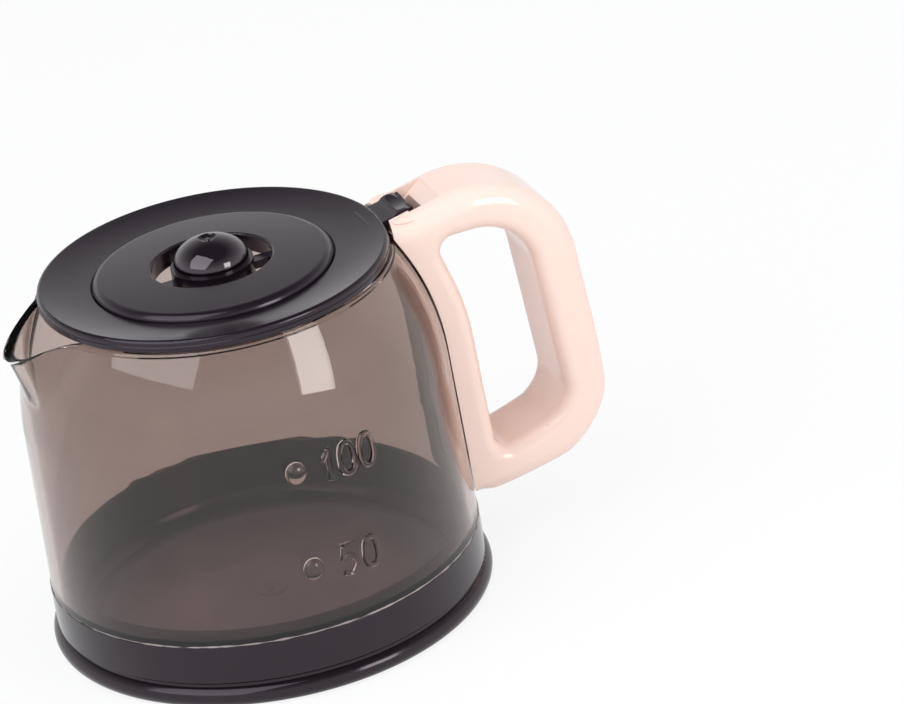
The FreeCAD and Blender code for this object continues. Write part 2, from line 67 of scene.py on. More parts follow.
# Clear wall: where its skin is measured and how finely it is drawn
SHOULDER_HEIGHT = 36.0 * MM
SIDE_ANGLE = math.radians(-60)
EDGE_MARGIN = 0.02 * MM
STRAIGHT_ROWS = 10
SHOULDER_ROWS = 28
RIM_STEPS = 5
WALL_STEPS = 320
WALL_SMOOTH_ANGLE = math.radians(32)

# Spout: half width at its root, how its width and reach grow upwards, how pointed its plan is,
# and how narrowly and how near the rim its lip falls
SPOUT_ROOT_HALF = 4.4 * MM
SPOUT_WIDEN = 0.75
SPOUT_FLARE = 1.3
SPOUT_POINT = 0.75
SPOUT_DIP_POINT = 1.5
SPOUT_DIP_RISE = 5

# Rail behind the handle
RAIL_WIDTH = 6.0 * MM
RAIL_PROUD = 1.6 * MM
RAIL_FOOT = 15.0 * MM
RAIL_TOP = 47.0 * MM
RAIL_CUTS = 11

# Capacity marks on the wall, as angles about the axis and heights
DOT_ANGLE = math.radians(-93.5)
DOT_TALL_SHARE = 1.12
DOT_SEGMENTS = 40
HUNDRED_DOT_HEIGHT = 36.95 * MM
FIFTY_DOT_HEIGHT = 20.83 * MM
HUNDRED_HEIGHT = 36.65 * MM
HUNDRED_ANGLES = (math.radians(-84.1), math.radians(-78.9), math.radians(-72.8))
FIFTY_HEIGHT = 20.4 * MM
FIFTY_ANGLES = (math.radians(-83.4), math.radians(-77.0))
LOWER_NUMBER_SHARE = 0.92
STROKE_ROUND_STEPS = 3

# Shapes of the numerals, as shares of their half height or half width
ZERO_WIDTH_SHARE = 0.5
ZERO_SQUARENESS = 0.85
ZERO_STEPS = 40
ONE_FLAG = ((0, 0.93), (-0.22, 0.62), (-0.42, 0.3))
FIVE_WIDTH_SHARE = 0.52
FIVE_CORNER = (-0.62, 1.0)
FIVE_KNEE = (-0.86, 0.10)
FIVE_FLAG = (FIVE_CORNER, (0.1, 1.0), (1.0, 1.0))
FIVE_NECK = (FIVE_CORNER, (-0.74, 0.55), FIVE_KNEE)
FIVE_BOWL = (FIVE_KNEE, (0.15, 0.30), (0.94, -0.32), (0.15, -1.0), (-1.0, -0.78))
BOWL_STEPS = 6

# Weld bead: how far the cup's band, which it follows, stands proud of the body, how finely the
# bead is drawn, and the lumps along it
CUP_BAND_PROUD = 0.15 * MM
WELD_SEGMENTS = 256
WELD_ROUND_SEGMENTS = 8
WELD_LUMP_SIZE = 2.2 * MM
WELD_LUMP_LEVEL = 0.62
WELD_LUMP_SHARE = 1.3

# Handle: the heel and the foot beside the body, which are drawn in, and how far that fades out
HEEL_INSET = 1.4 * MM
HEEL_RISE = 5.0 * MM
HEEL_FADE = 7.0 * MM
HEEL_INWARDS = Vector((-0.75, 0, 0.66))
FOOT_INSET = 0.2 * MM
FOOT_FADE = 1.6 * MM
FOOT_INWARDS = Vector((0.2, 0, 0.98))
REFINE_ROUNDS = 3
HANDLE_SMOOTH_ANGLE = math.radians(38)

# Swells over the hinge's sockets in the handle's ears
HINGE_X = 30.6 * MM
HINGE_HEIGHT = 57.6 * MM
SOCKET_END = 5.0 * MM
SWELL_RISE = 1.2 * MM
SWELL_RADII = (2.6 * MM, 1.3 * MM, 0.45 * MM)
SWELL_SEGMENTS = 32

# Distances below which doubled points are merged
CAD_DOUBLES = 0.0015 * MM
STROKE_DOUBLES = 0.002 * MM
WALL_DOUBLES = 0.004 * MM

# Shared surface of the mouldings: scales of its noises, then the edge and rarity of dust specks
NOISE_MIDDLE = 0.5
TONE_SCALE = 38.0
SMEAR_SCALE = 95.0
SMEAR_DISTORTION = 0.8
SPECK_SCALE = 210.0
SPECK_EDGE = (0.055, 0.02)
SPECK_CHANCE = 0.82
DUST_ROUGHNESS = 0.3

# Clear wall: faint streaks of deeper tint and haze, and waves in its surface
STREAK_SCALE = 22.0
STREAK_ENDS = (0.3, 0.7)
STREAK_SHADE = 0.94
HAZE = (0.012, 0.04)
WAVE_SCALE = 75.0
WAVE_STRENGTH = 0.18
WAVE_DEPTH = 0.12 * MM

# Inner floor of the cup, where a paler tone is painted light: the heights and radii between which
# that painted light fades in and out, and how a patchy noise varies it
FLOOR_RISES = (1.2 * MM, 1.7 * MM)
FLOOR_ENDS = (3.0 * MM, 2.3 * MM)
FLOOR_EDGE = (29.5 * MM, 27.0 * MM)
FLOOR_LIGHT_NOISE_SCALE = 60.0
FLOOR_LIGHT_NOISE_DISTORTION = 1.2
FLOOR_LIGHT_SHARES = (0.75, 1.15)

# Finishes: inputs of the shared surface, fine bump, and gloss
CLEAR_GLOSS = (1.0, 1.0, 1.0)
DARK_GLOSS = (1.0, 0.88, 1.0)
FINISHES = {
    "dark_base": {
        "surface": {
            "Gloss": 0.13,
            "Colour drift": 0.25,
            "Gloss drift": 0.10,
            "Dust": 0.25,
            "Grain size": 700.0,
        },
        "bump_strength": 0.05,
        "bump_depth": 0.1 * MM,
        "specular": 0.45,
        "tint": DARK_GLOSS,
    },
    "dark_lid": {
        "surface": {
            "Gloss": 0.19,
            "Colour drift": 0.2,
            "Gloss drift": 0.10,
            "Dust": 0.4,
            "Grain size": 1500.0,
        },
        "bump_strength": 0.06,
        "bump_depth": 0.1 * MM,
        "specular": 0.45,
        "tint": DARK_GLOSS,
    },
    "dark_knob": {
        "surface": {
            "Gloss": 0.05,
            "Colour drift": 0.2,
            "Gloss drift": 0.03,
            "Dust": 0.15,
            "Grain size": 400.0,
        },
        "bump_strength": 0.02,
        "bump_depth": 0.1 * MM,
        "specular": 0.9,
        "tint": DARK_GLOSS,
    },
    "cream_handle": {
        "surface": {
            "Gloss": 0.10,
            "Colour drift": 0.04,
            "Gloss drift": 0.06,
            "Dust": 0.5,
            "Dust colour": (0.5, 0.36, 0.3, 1.0),
            "Grain size": 260.0,
        },
        "bump_strength": 0.04,
        "bump_depth": 0.2 * MM,
        "specular": 0.5,
        "tint": CLEAR_GLOSS,
    },
    "weld_line": {
        "surface": {"Gloss": 0.28, "Colour drift": 1.3, "Gloss drift": 0.2, "Dust": 0.2},
        "bump_strength": 0.4,
        "bump_depth": 0.1 * MM,
        "specular": 0.5,
        "tint": CLEAR_GLOSS,
    },
}
PLASTIC_IOR = 1.5
CLEAR_IOR = 1.49
WELD_COLOUR = (0.30, 0.25, 0.24)

# Sockets of the shared surface group: name, kind and default
SURFACE_INPUTS = (
    ("Colour", "NodeSocketColor", (0.5, 0.5, 0.5, 1.0)),
    ("Colour drift", "NodeSocketFloat", 0.05),
    ("Gloss", "NodeSocketFloat", 0.2),
    ("Gloss drift", "NodeSocketFloat", 0.05),
    ("Dust", "NodeSocketFloat", 0.5),
    ("Dust colour", "NodeSocketColor", (0.6, 0.6, 0.6, 1.0)),
    ("Grain size", "NodeSocketFloat", 900.0),
)
SURFACE_OUTPUTS = (
    ("Colour", "NodeSocketColor"),
    ("Roughness", "NodeSocketFloat"),
    ("Height", "NodeSocketFloat"),
)

# Lamps: name, azimuth, elevation and roll in degrees, distance, width and height in metres,
# watts, tint, and whether glossy surfaces mirror the lamp
LAMPS = (
    ("left_window", -153.5, 48.4, 0.0, 0.80, 0.78, 0.82, 4.8, (0.94, 0.97, 1.0), True),
    ("front_window", -58.7, 17.6, -13.0, 0.80, 0.27, 0.34, 2.0, (1.0, 0.98, 0.96), True),
    ("front_fill", -100.0, 32.0, 0.0, 0.90, 1.00, 0.80, 0.5, (1.0, 0.99, 0.98), False),
    ("top_fill", -60.0, 80.0, 0.0, 0.90, 0.80, 0.80, 1.8, (0.87, 0.94, 1.0), False),
    ("right_fill", 10.0, 40.0, 0.0, 0.90, 0.50, 0.40, 1.0, (1.0, 0.98, 0.97), False),
)

# Floor, room and camera, in metres apart from the sensor's millimetres
FLOOR_RADIUS = 4.0
FLOOR_SIDES = 96
FLOOR_TONE = (0.86, 0.86, 0.86, 1.0)
FLOOR_WHITE_SHARE = 0.86
WHITE = (1.0, 1.0, 1.0)
SKY_TINT = (0.94, 0.96, 1.0, 1.0)
SKY_STRENGTH = 0.42
ROOM_STOPS = ((0.22, WHITE), (0.85, (0.10, 0.10, 0.11)))
SENSOR_WIDTH = 36.0
NEAREST_SEEN = 0.05
FARTHEST_SEEN = 20.0


class JugBodySettings(bpy.types.PropertyGroup):
    """Sizes and tint of the clear body, its spout, its marks and the weld under it."""

    rim_round: FloatProperty(
        name="Rim rounding",
        description="Width of the rounding on the rim and the spout's lip",
        default=0.5 * MM,
        unit="LENGTH",
    )
    spout_width: FloatProperty(
        name="Spout width",
        description="Width of the spout where it leaves the rim",
        default=22.0 * MM,
        unit="LENGTH",
    )
    spout_height: FloatProperty(
        name="Spout height",
        description="How far below the rim the spout starts",
        default=12.4 * MM,
        unit="LENGTH",
    )
    spout_dip: FloatProperty(
        name="Spout dip",
        description="How far the lip falls from the rim to the tip",
        default=4.3 * MM,
        unit="LENGTH",
    )
    dot_diameter: FloatProperty(
        name="Dot diameter",
        description="Width of the two raised dots beside the numbers",
        default=3.3 * MM,
        unit="LENGTH",
    )
    dot_rise: FloatProperty(
        name="Dot rise",
        description="How far the dots stand out of the wall",
        default=1.25 * MM,
        unit="LENGTH",
    )
    mark_rise: FloatProperty(
        name="Mark rise",
        description="How far the numbers stand out of the wall",
        default=0.44 * MM,
        unit="LENGTH",
    )
    stroke_width: FloatProperty(
        name="Stroke width",
        description="Width of the numbers' rounded strokes",
        default=0.92 * MM,
        unit="LENGTH",
    )
    number_height: FloatProperty(
        name="Number height",
        description="Height of the upper number",
        default=5.1 * MM,
        unit="LENGTH",
    )
    weld_width: FloatProperty(
        name="Weld width",
        description="Thickness of the weld bead over the cup",
        default=0.3 * MM,
        unit="LENGTH",
    )
    smoke_colour: FloatVectorProperty(
        name="Smoke colour",
        description="Colour of light that has passed through one wall",
        default=(0.52, 0.425, 0.395),
        subtype="COLOR",
        size=3,
    )


class DarkPlasticSettings(bpy.types.PropertyGroup):
    """Colours of the dark mouldings."""

    base_colour: FloatVectorProperty(
        name="Base cup",
        description="Colour of the base cup",
        default=(0.009, 0.0055, 0.008),
        subtype="COLOR",
        size=3,
    )
    # Colour of the painted light on the cup's inner floor, not the plastic's own colour
    floor_light_colour: FloatVectorProperty(
        name="Cup floor",
        description="Colour of the scuffed floor inside the cup",
        default=(0.50, 0.43, 0.49),
        subtype="COLOR",
        size=3,
    )
    lid_colour: FloatVectorProperty(
        name="Lid",
        description="Colour of the lid ring and insert",
        default=(0.010, 0.006, 0.010),
        subtype="COLOR",
        size=3,
    )
    knob_colour: FloatVectorProperty(
        name="Knob",
        description="Colour of the glossy knob",
        default=(0.006, 0.003, 0.005),
        subtype="COLOR",
        size=3,
    )


class HandleSettings(bpy.types.PropertyGroup):
    """Colour and easing of the cream handle."""

    cream_colour: FloatVectorProperty(
        name="Cream",
        description="Colour of the handle",
        default=(0.92, 0.695, 0.605),
        subtype="COLOR",
        size=3,
    )
    heel_ease: FloatProperty(
        name="Heel ease",
        description="How far the lower outer corner is drawn in",
        default=1.5 * MM,
        unit="LENGTH",
    )
    foot_ease: FloatProperty(
        name="Foot ease",
        description="How far the corner beside the body is drawn up",
        default=1.0 * MM,
        unit="LENGTH",
    )


class StageSettings(bpy.types.PropertyGroup):
    """Where the camera stands and how strong the light is."""

    azimuth: FloatProperty(
        name="Camera azimuth",
        description="Angle of the camera about the jug's axis",
        default=math.radians(-17.0),
        subtype="ANGLE",
    )
    elevation: FloatProperty(
        name="Camera elevation",
        description="How steeply the camera looks down",
        default=math.radians(25.17),
        subtype="ANGLE",
    )
    roll: FloatProperty(
        name="Camera roll",
        description="How far the jug leans in the picture",
        default=math.radians(-9.659),
        subtype="ANGLE",
    )
    distance: FloatProperty(
        name="Camera distance",
        description="Distance from the camera to the plane that it frames",
        default=974.41 * MM,
        unit="LENGTH",
    )
    aside: FloatProperty(
        name="Camera aside",
        description="How far the picture's centre lies beside the foot",
        default=27.826 * MM,
        unit="LENGTH",
    )
    above: FloatProperty(
        name="Camera above",
        description="How far the picture's centre lies above the foot",
        default=38.846 * MM,
        unit="LENGTH",
    )
    lens: FloatProperty(
        name="Lens",
        description="Focal length on a 36 mm wide sensor, in millimetres",
        default=247.02,
    )
    lamp_level: FloatProperty(
        name="Lamp level",
        description="Scales every lamp of the stage",
        default=1.0,
    )


# Nodes


def feed(tree, socket, value):
    """Links another socket into this one, or sets it to a plain value."""
    if isinstance(value, bpy.types.NodeSocket):
        tree.links.new(value, socket)
    else:
        socket.default_value = value


def add_node(tree, kind, inputs=None, **settings):
    """Adds a node with its settings, and feeds its inputs by name or number."""
    node = tree.nodes.new(kind)
    for name, value in settings.items():
        setattr(node, name, value)
    for key, value in (inputs or {}).items():
        feed(tree, node.inputs[key], value)
    return node


def coordinates(tree, kind):
    """The coordinates of one kind, such as Object or Generated."""
    return add_node(tree, "ShaderNodeTexCoord").outputs[kind]


def height_of(tree, place):
    return add_node(tree, "ShaderNodeSeparateXYZ", {"Vector": place}).outputs["Z"]


def math_node(tree, operation, *values, use_clamp=False):
    """The result of a Math node that is fed in order with sockets or numbers."""
    inputs = dict(enumerate(values))
    node = add_node(tree, "ShaderNodeMath", inputs, operation=operation, use_clamp=use_clamp)
    return node.outputs[0]


def range_node(tree, value, start, end, low=0.0, high=1.0):
    """The result of a Map Range node."""
    inputs = {"Value": value, "From Min": start, "From Max": end, "To Min": low, "To Max": high}
    return add_node(tree, "ShaderNodeMapRange", inputs).outputs["Result"]


def noise_node(tree, place, scale, detail, distortion=0.0):
    """The grey value of a Noise Texture node."""
    inputs = {"Vector": place, "Scale": scale, "Detail": detail, "Distortion": distortion}
    return add_node(tree, "ShaderNodeTexNoise", inputs).outputs["Fac"]


def mix_colours(tree, share, plain, other):
    """The result of a Mix node between two colours."""
    inputs = {"Factor": share, "A": plain, "B": other}
    return add_node(tree, "ShaderNodeMix", inputs, data_type="RGBA").outputs["Result"]


def ramp_node(tree, value, stops):
    """The colour of a ramp between two (position, colour) stops."""
    node = add_node(tree, "ShaderNodeValToRGB", {"Fac": value})
    for element, (position, colour) in zip(node.color_ramp.elements, stops):
        element.position = position
        element.color = (*colour, 1.0)
    return node.outputs["Color"]


def bump_node(tree, height, strength, depth):
    """The normal of a Bump node."""
    inputs = {"Strength": strength, "Distance": depth, "Height": height}
    return add_node(tree, "ShaderNodeBump", inputs).outputs["Normal"]


# Materials


def new_material(name):
    """A material with an empty Principled BSDF, and that shader."""
    material = bpy.data.materials.new(name)
    material.use_nodes = True
    tree = material.node_tree
    tree.nodes.clear()
    shader = add_node(tree, "ShaderNodeBsdfPrincipled")
    add_node(tree, "ShaderNodeOutputMaterial", {"Surface": shader.outputs["BSDF"]})
    return material, shader


def moulded_surface_group():
    """Node group: tone variation, uneven gloss, dust specks and a fine moulded grain."""
    name = "Moulded surface"
    if name in bpy.data.node_groups:
        return bpy.data.node_groups[name]
    tree = bpy.data.node_groups.new(name, "ShaderNodeTree")
    for label, kind, default in SURFACE_INPUTS:
        socket = tree.interface.new_socket(name=label, in_out="INPUT", socket_type=kind)
        socket.default_value = default
    for label, kind in SURFACE_OUTPUTS:
        tree.interface.new_socket(name=label, in_out="OUTPUT", socket_type=kind)
    given = add_node(tree, "NodeGroupInput").outputs
    place = coordinates(tree, "Object")

    tone = noise_node(tree, place, TONE_SCALE, detail=3.0)
    drift = math_node(tree, "SUBTRACT", tone, NOISE_MIDDLE)
    value = math_node(tree, "MULTIPLY_ADD", drift, given["Colour drift"], 1.0)
    toned = add_node(tree, "ShaderNodeHueSaturation", {"Value": value, "Color": given["Colour"]})

    specks = add_node(tree, "ShaderNodeTexVoronoi", {"Vector": place, "Scale": SPECK_SCALE})
    near = range_node(tree, specks.outputs["Distance"], *SPECK_EDGE)
    chance = add_node(tree, "ShaderNodeSeparateColor", {"Color": specks.outputs["Color"]})
    some = math_node(tree, "GREATER_THAN", chance.outputs["Red"], SPECK_CHANCE)
    speck = math_node(tree, "MULTIPLY", near, some)
    dust = math_node(tree, "MULTIPLY", speck, given["Dust"], use_clamp=True)
    dusty = mix_colours(tree, dust, toned.outputs["Color"], given["Dust colour"])

    smears = noise_node(tree, place, SMEAR_SCALE, detail=4.0, distortion=SMEAR_DISTORTION)
    smear = math_node(tree, "SUBTRACT", smears, NOISE_MIDDLE)
    gloss = math_node(tree, "MULTIPLY_ADD", smear, given["Gloss drift"], given["Gloss"])
    rough = math_node(tree, "MULTIPLY_ADD", dust, DUST_ROUGHNESS, gloss, use_clamp=True)

    grain = noise_node(tree, place, given["Grain size"], detail=2.0)
    add_node(tree, "NodeGroupOutput", {"Colour": dusty, "Roughness": rough, "Height": grain})
    return tree


def moulded_plastic(name, colour):
    """An opaque moulded plastic in one of the finishes, from the shared surface group."""
    finish = FINISHES[name]
    material, shader = new_material(name)
    tree = material.node_tree
    surface = add_node(tree, "ShaderNodeGroup", node_tree=moulded_surface_group())
    surface.inputs["Colour"].default_value = (*colour, 1.0)
    for key, value in finish["surface"].items():
        surface.inputs[key].default_value = value
    grain = surface.outputs["Height"]
    normal = bump_node(tree, grain, finish["bump_strength"], finish["bump_depth"])
    feed(tree, shader.inputs["Base Color"], surface.outputs["Colour"])
    feed(tree, shader.inputs["Roughness"], surface.outputs["Roughness"])
    feed(tree, shader.inputs["Normal"], normal)
    shader.inputs["IOR"].default_value = PLASTIC_IOR
    shader.inputs["Specular IOR Level"].default_value = finish["specular"]
    shader.inputs["Specular Tint"].default_value = (*finish["tint"], 1.0)
    return material


def paint_light_on_cup_floor(material, colour):
    """Paints light onto the cup's inner floor: a paler tone, made patchy by a noise, that stands in
    for the light the floor catches.
    """
    tree = material.node_tree
    base_colour = tree.nodes["Principled BSDF"].inputs["Base Color"]
    plain = base_colour.links[0].from_socket
    place = coordinates(tree, "Object")
    height = height_of(tree, place)
    above = range_node(tree, height, *FLOOR_RISES)
    below = range_node(tree, height, *FLOOR_ENDS)
    inputs = {0: place, 1: (1.0, 1.0, 0.0)}
    flat = add_node(tree, "ShaderNodeVectorMath", inputs, operation="MULTIPLY").outputs["Vector"]
    radius = add_node(tree, "ShaderNodeVectorMath", {0: flat}, operation="LENGTH").outputs["Value"]
    within = range_node(tree, radius, *FLOOR_EDGE)
    level = math_node(tree, "MULTIPLY", above, below)
    floor = math_node(tree, "MULTIPLY", level, within)
    # A patchy noise varies the painted light on the floor
    light_patches = noise_node(tree, place, FLOOR_LIGHT_NOISE_SCALE, detail=5.0, distortion=FLOOR_LIGHT_NOISE_DISTORTION)
    patchy_light = range_node(tree, light_patches, 0.0, 1.0, *FLOOR_LIGHT_SHARES)
    share = math_node(tree, "MULTIPLY", floor, patchy_light, use_clamp=True)
    # Mixes the painted light into the floor's base colour
    feed(tree, base_colour, mix_colours(tree, share, plain, (*colour, 1.0)))


def smoky_clear_material(colour):
    """Clear smoky plastic, a little wavy, with faint streaks of uneven tint."""
    material, shader = new_material("smoky_clear")
    tree = material.node_tree
    place = coordinates(tree, "Object")
    streaks = noise_node(tree, place, STREAK_SCALE, detail=3.0)
    deeper = [STREAK_SHADE * part for part in colour]
    tint = ramp_node(tree, streaks, zip(STREAK_ENDS, (deeper, colour)))
    waves = noise_node(tree, place, WAVE_SCALE, detail=2.0)
    feed(tree, shader.inputs["Base Color"], tint)
    feed(tree, shader.inputs["Roughness"], range_node(tree, streaks, 0.0, 1.0, *HAZE))
    feed(tree, shader.inputs["Normal"], bump_node(tree, waves, WAVE_STRENGTH, WAVE_DEPTH))
    shader.inputs["Transmission Weight"].default_value = 1.0
    shader.inputs["IOR"].default_value = CLEAR_IOR
    return material


# Mesh helpers


def deselect_all():
    if bpy.context.object is not None and bpy.context.object.mode != "OBJECT":
        bpy.ops.object.mode_set(mode="OBJECT")
    bpy.ops.object.select_all(action="DESELECT")


def make_active(obj):
    deselect_all()
    obj.select_set(True)
    bpy.context.view_layer.objects.active = obj


def apply_place(obj):
    make_active(obj)
    bpy.ops.object.transform_apply(location=True, rotation=True, scale=True)


def apply_modifiers(obj):
    make_active(obj)
    for modifier in list(obj.modifiers):
        bpy.ops.object.modifier_apply(modifier=modifier.name)


def dress(obj, material):
    obj.data.materials.clear()
    obj.data.materials.append(material)


def merge_doubles(distance, recalculate):
    """Merges the active mesh's doubled points, and turns its faces outwards if asked to."""
    bpy.ops.object.mode_set(mode="EDIT")
    bpy.ops.mesh.select_all(action="SELECT")
    bpy.ops.mesh.remove_doubles(threshold=distance)
    if recalculate:
        bpy.ops.mesh.normals_make_consistent(inside=False)
    bpy.ops.object.mode_set(mode="OBJECT")


def merged_copy(name, new_name):
    """A copy of a CAD node with its loose triangles merged."""
    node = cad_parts[name]
    obj = bpy.data.objects.new(new_name, node.data.copy())
    bpy.context.scene.collection.objects.link(obj)
    obj.matrix_world = node.matrix_world.copy()
    apply_place(obj)
    if obj.data.has_custom_normals:
        bpy.ops.mesh.customdata_custom_splitnormals_clear()
    merge_doubles(CAD_DOUBLES, recalculate=False)
    return obj


def select_edges(obj, test):
    """Selects, in edit mode, the edges that pass a test."""
    make_active(obj)
    bpy.ops.object.mode_set(mode="EDIT")
    bpy.ops.mesh.select_mode(type="EDGE")
    bpy.ops.mesh.select_all(action="DESELECT")
    mesh = bmesh.from_edit_mesh(obj.data)
    chosen = [edge for edge in mesh.edges if test(edge)]
    if not chosen:
        raise RuntimeError("no edge of " + obj.name + " passed the test")
    for edge in chosen:
        edge.select_set(True)
    mesh.select_flush_mode()
    bmesh.update_edit_mesh(obj.data)


def union_with(obj, tool):
    """Joins a closed tool to a closed piece and removes the tool."""
    make_active(obj)
    modifier = obj.modifiers.new("join", "BOOLEAN")
    modifier.operation = "UNION"
    modifier.solver = "EXACT"
    modifier.object = tool
    before = len(obj.data.vertices)
    bpy.ops.object.modifier_apply(modifier=modifier.name)
    if len(obj.data.vertices) <= before:
        raise RuntimeError(tool.name + " wasn't joined to " + obj.name)
    bpy.data.objects.remove(tool, do_unlink=True)


def closed_ellipsoid(segments, radii, place, turn=(0, 0, 0)):
    """An ellipsoid with half as many rings as segments, ready to be joined."""
    deselect_all()
    bpy.ops.mesh.primitive_uv_sphere_add(segments=segments, ring_count=segments // 2, radius=1.0)
    ellipsoid = bpy.context.object
    ellipsoid.scale = radii
    ellipsoid.rotation_euler = turn
    ellipsoid.location = place
    apply_place(ellipsoid)
    return ellipsoid


# Clear wall


def direction(angle):
    """The level direction at an angle about the axis."""
    return Vector((math.cos(angle), math.sin(angle), 0))


def wall_point(angle, height):
    """The point and normal of the clear body's outer skin at an angle about the axis."""
    outwards = direction(angle)
    start = outwards * BODY_RADIUS * 2 + Vector((0, 0, height))
    hit, place, normal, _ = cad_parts["jug_body"].ray_cast(start, -outwards)
    if not hit:
        raise RuntimeError("the wall wasn't met at height " + str(height))
    return place, normal


def skin_radii(height):
    """Outer and inner radius of the clear wall at a height, measured on the frame."""
    inside = min(max(height, SEAM_HEIGHT + EDGE_MARGIN), RIM_HEIGHT - EDGE_MARGIN)
    outer, _ = wall_point(SIDE_ANGLE, inside)
    start = Vector((0, 0, inside))
    hit, inner, _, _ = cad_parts["jug_body"].ray_cast(start, direction(SIDE_ANGLE))
    if not hit:
        raise RuntimeError("the inner skin wasn't met at height " + str(height))
    return math.hypot(outer.x, outer.y), math.hypot(inner.x, inner.y)


def wall_profile(rim_round):
    """Closed outline of the wall as (radius, height), up the outside and down the inside."""
    straight = SHOULDER_HEIGHT - SEAM_HEIGHT
    heights = [SEAM_HEIGHT + straight * row / STRAIGHT_ROWS for row in range(STRAIGHT_ROWS)]
    crown = RIM_HEIGHT - rim_round
    curved = crown - SHOULDER_HEIGHT
    heights += [SHOULDER_HEIGHT + curved * row / SHOULDER_ROWS for row in range(SHOULDER_ROWS + 1)]
    outer = [(skin_radii(height)[0], height) for height in heights]
    inner = [(skin_radii(height)[1], height) for height in reversed(heights)]
    rim_outer, rim_inner = skin_radii(RIM_HEIGHT)
    rim = []
    for step in range(1, RIM_STEPS + 1):
        turn = math.pi / 2 * step / RIM_STEPS
        across = rim_outer - rim_round + rim_round * math.cos(turn)
        rim.append((across, crown + rim_round * math.sin(turn)))
    for step in range(RIM_STEPS):
        turn = math.pi / 2 * (1 + step / RIM_STEPS)
        across = rim_inner + rim_round + rim_round * math.cos(turn)
        rim.append((across, crown + rim_round * math.sin(turn)))
    return outer + rim + inner


def spun_wall(name, profile):
    """Spins a closed outline about the axis into a wall with a thickness."""
    deselect_all()
    bpy.ops.mesh.primitive_circle_add(vertices=len(profile), radius=1.0)
    wall = bpy.context.object
    wall.name = name
    for vertex, (radius, height) in zip(wall.data.vertices, profile):
        vertex.co = (radius, 0, height)
    bpy.ops.object.mode_set(mode="EDIT")
    bpy.ops.mesh.select_all(action="SELECT")
    bpy.ops.mesh.spin(steps=WALL_STEPS, angle=math.tau, center=(0, 0, 0), axis=(0, 0, 1))
    merge_doubles(WALL_DOUBLES, recalculate=True)
    return wall


def pull_spout(wall, sizes):
    """Pulls the wall out into a spout that flares upwards, and lets its lip fall to the tip."""
    root = RIM_HEIGHT - sizes.spout_height
    reach = SPOUT_TIP - skin_radii(RIM_HEIGHT)[0]
    widening = sizes.spout_width / 2 - SPOUT_ROOT_HALF
    for vertex in wall.data.vertices:
        place = vertex.co
        if place.x > 0 or place.z < root:
            continue
        rise = (place.z - root) / sizes.spout_height
        half_width = SPOUT_ROOT_HALF + widening * rise ** SPOUT_WIDEN
        aside = min(abs(place.y) / half_width, 1.0)
        swell = ((1 + math.cos(math.pi * aside)) / 2) ** SPOUT_POINT
        place.x -= reach * rise ** SPOUT_FLARE * swell
        place.z -= sizes.spout_dip * swell ** SPOUT_DIP_POINT * rise ** SPOUT_DIP_RISE


def rail_bar():
    """The upright rail behind the handle, as a closed bar that starts inside the wall."""
    deselect_all()
    bpy.ops.mesh.primitive_cube_add(size=1.0)
    bar = bpy.context.object
    bar.scale = (1.0, RAIL_WIDTH, RAIL_TOP - RAIL_FOOT)
    bar.location = (0.5, 0, (RAIL_TOP + RAIL_FOOT) / 2)
    apply_place(bar)
    bpy.ops.object.mode_set(mode="EDIT")
    bpy.ops.mesh.select_all(action="SELECT")
    bpy.ops.mesh.subdivide(number_cuts=RAIL_CUTS)
    bpy.ops.object.mode_set(mode="OBJECT")
    for vertex in bar.data.vertices:
        outer, inner = skin_radii(vertex.co.z)
        far = outer + RAIL_PROUD
        near = (outer + inner) / 2
        radius = near + (far - near) * vertex.co.x
        vertex.co.x = math.sqrt(radius ** 2 - vertex.co.y ** 2)
    return bar


# Capacity marks


def scaled(shares, half_width, half_height):
    """Points of a numeral from shares of its half width and half height."""
    return [(aside * half_width, above * half_height) for aside, above in shares]


def smooth_path(corners, steps):
    """Points along a Catmull-Rom curve through corners, which keeps its first and last corner."""
    padded = [corners[0]] + list(corners) + [corners[-1]]
    points = []
    for index in range(1, len(padded) - 2):
        before, start, end, after = [Vector(corner) for corner in padded[index - 1:index + 3]]
        for step in range(steps):
            t = step / steps
            point = start * 2 + (end - before) * t
            point += (before * 2 - start * 5 + end * 4 - after) * t ** 2
            point += (start * 3 - before - end * 3 + after) * t ** 3
            points.append(tuple(point / 2))
    points.append(tuple(corners[-1]))
    return points


def zero_path(half_height):
    """A tall rounded ring."""
    points = []
    for step in range(ZERO_STEPS):
        turn = math.tau * step / ZERO_STEPS
        aside = math.copysign(abs(math.cos(turn)) ** ZERO_SQUARENESS, math.cos(turn))
        above = math.copysign(abs(math.sin(turn)) ** ZERO_SQUARENESS, math.sin(turn))
        points.append((half_height * ZERO_WIDTH_SHARE * aside, half_height * above))
    return points


def one_paths(half_height):
    """A one in two strokes: its upright, and its flag, which starts inside the upright."""
    third = half_height / 3
    upright = [(0, half_height), (0, third), (0, -third), (0, -half_height)]
    return upright, scaled(ONE_FLAG, half_height, half_height)


def five_paths(half_height):
    """A five in three strokes: its flag, its neck and its bowl."""
    half_width = half_height * FIVE_WIDTH_SHARE
    flag = scaled(FIVE_FLAG, half_width, half_height)
    neck = scaled(FIVE_NECK, half_width, half_height)
    bowl = smooth_path(scaled(FIVE_BOWL, half_width, half_height), BOWL_STEPS)
    return flag, neck, bowl


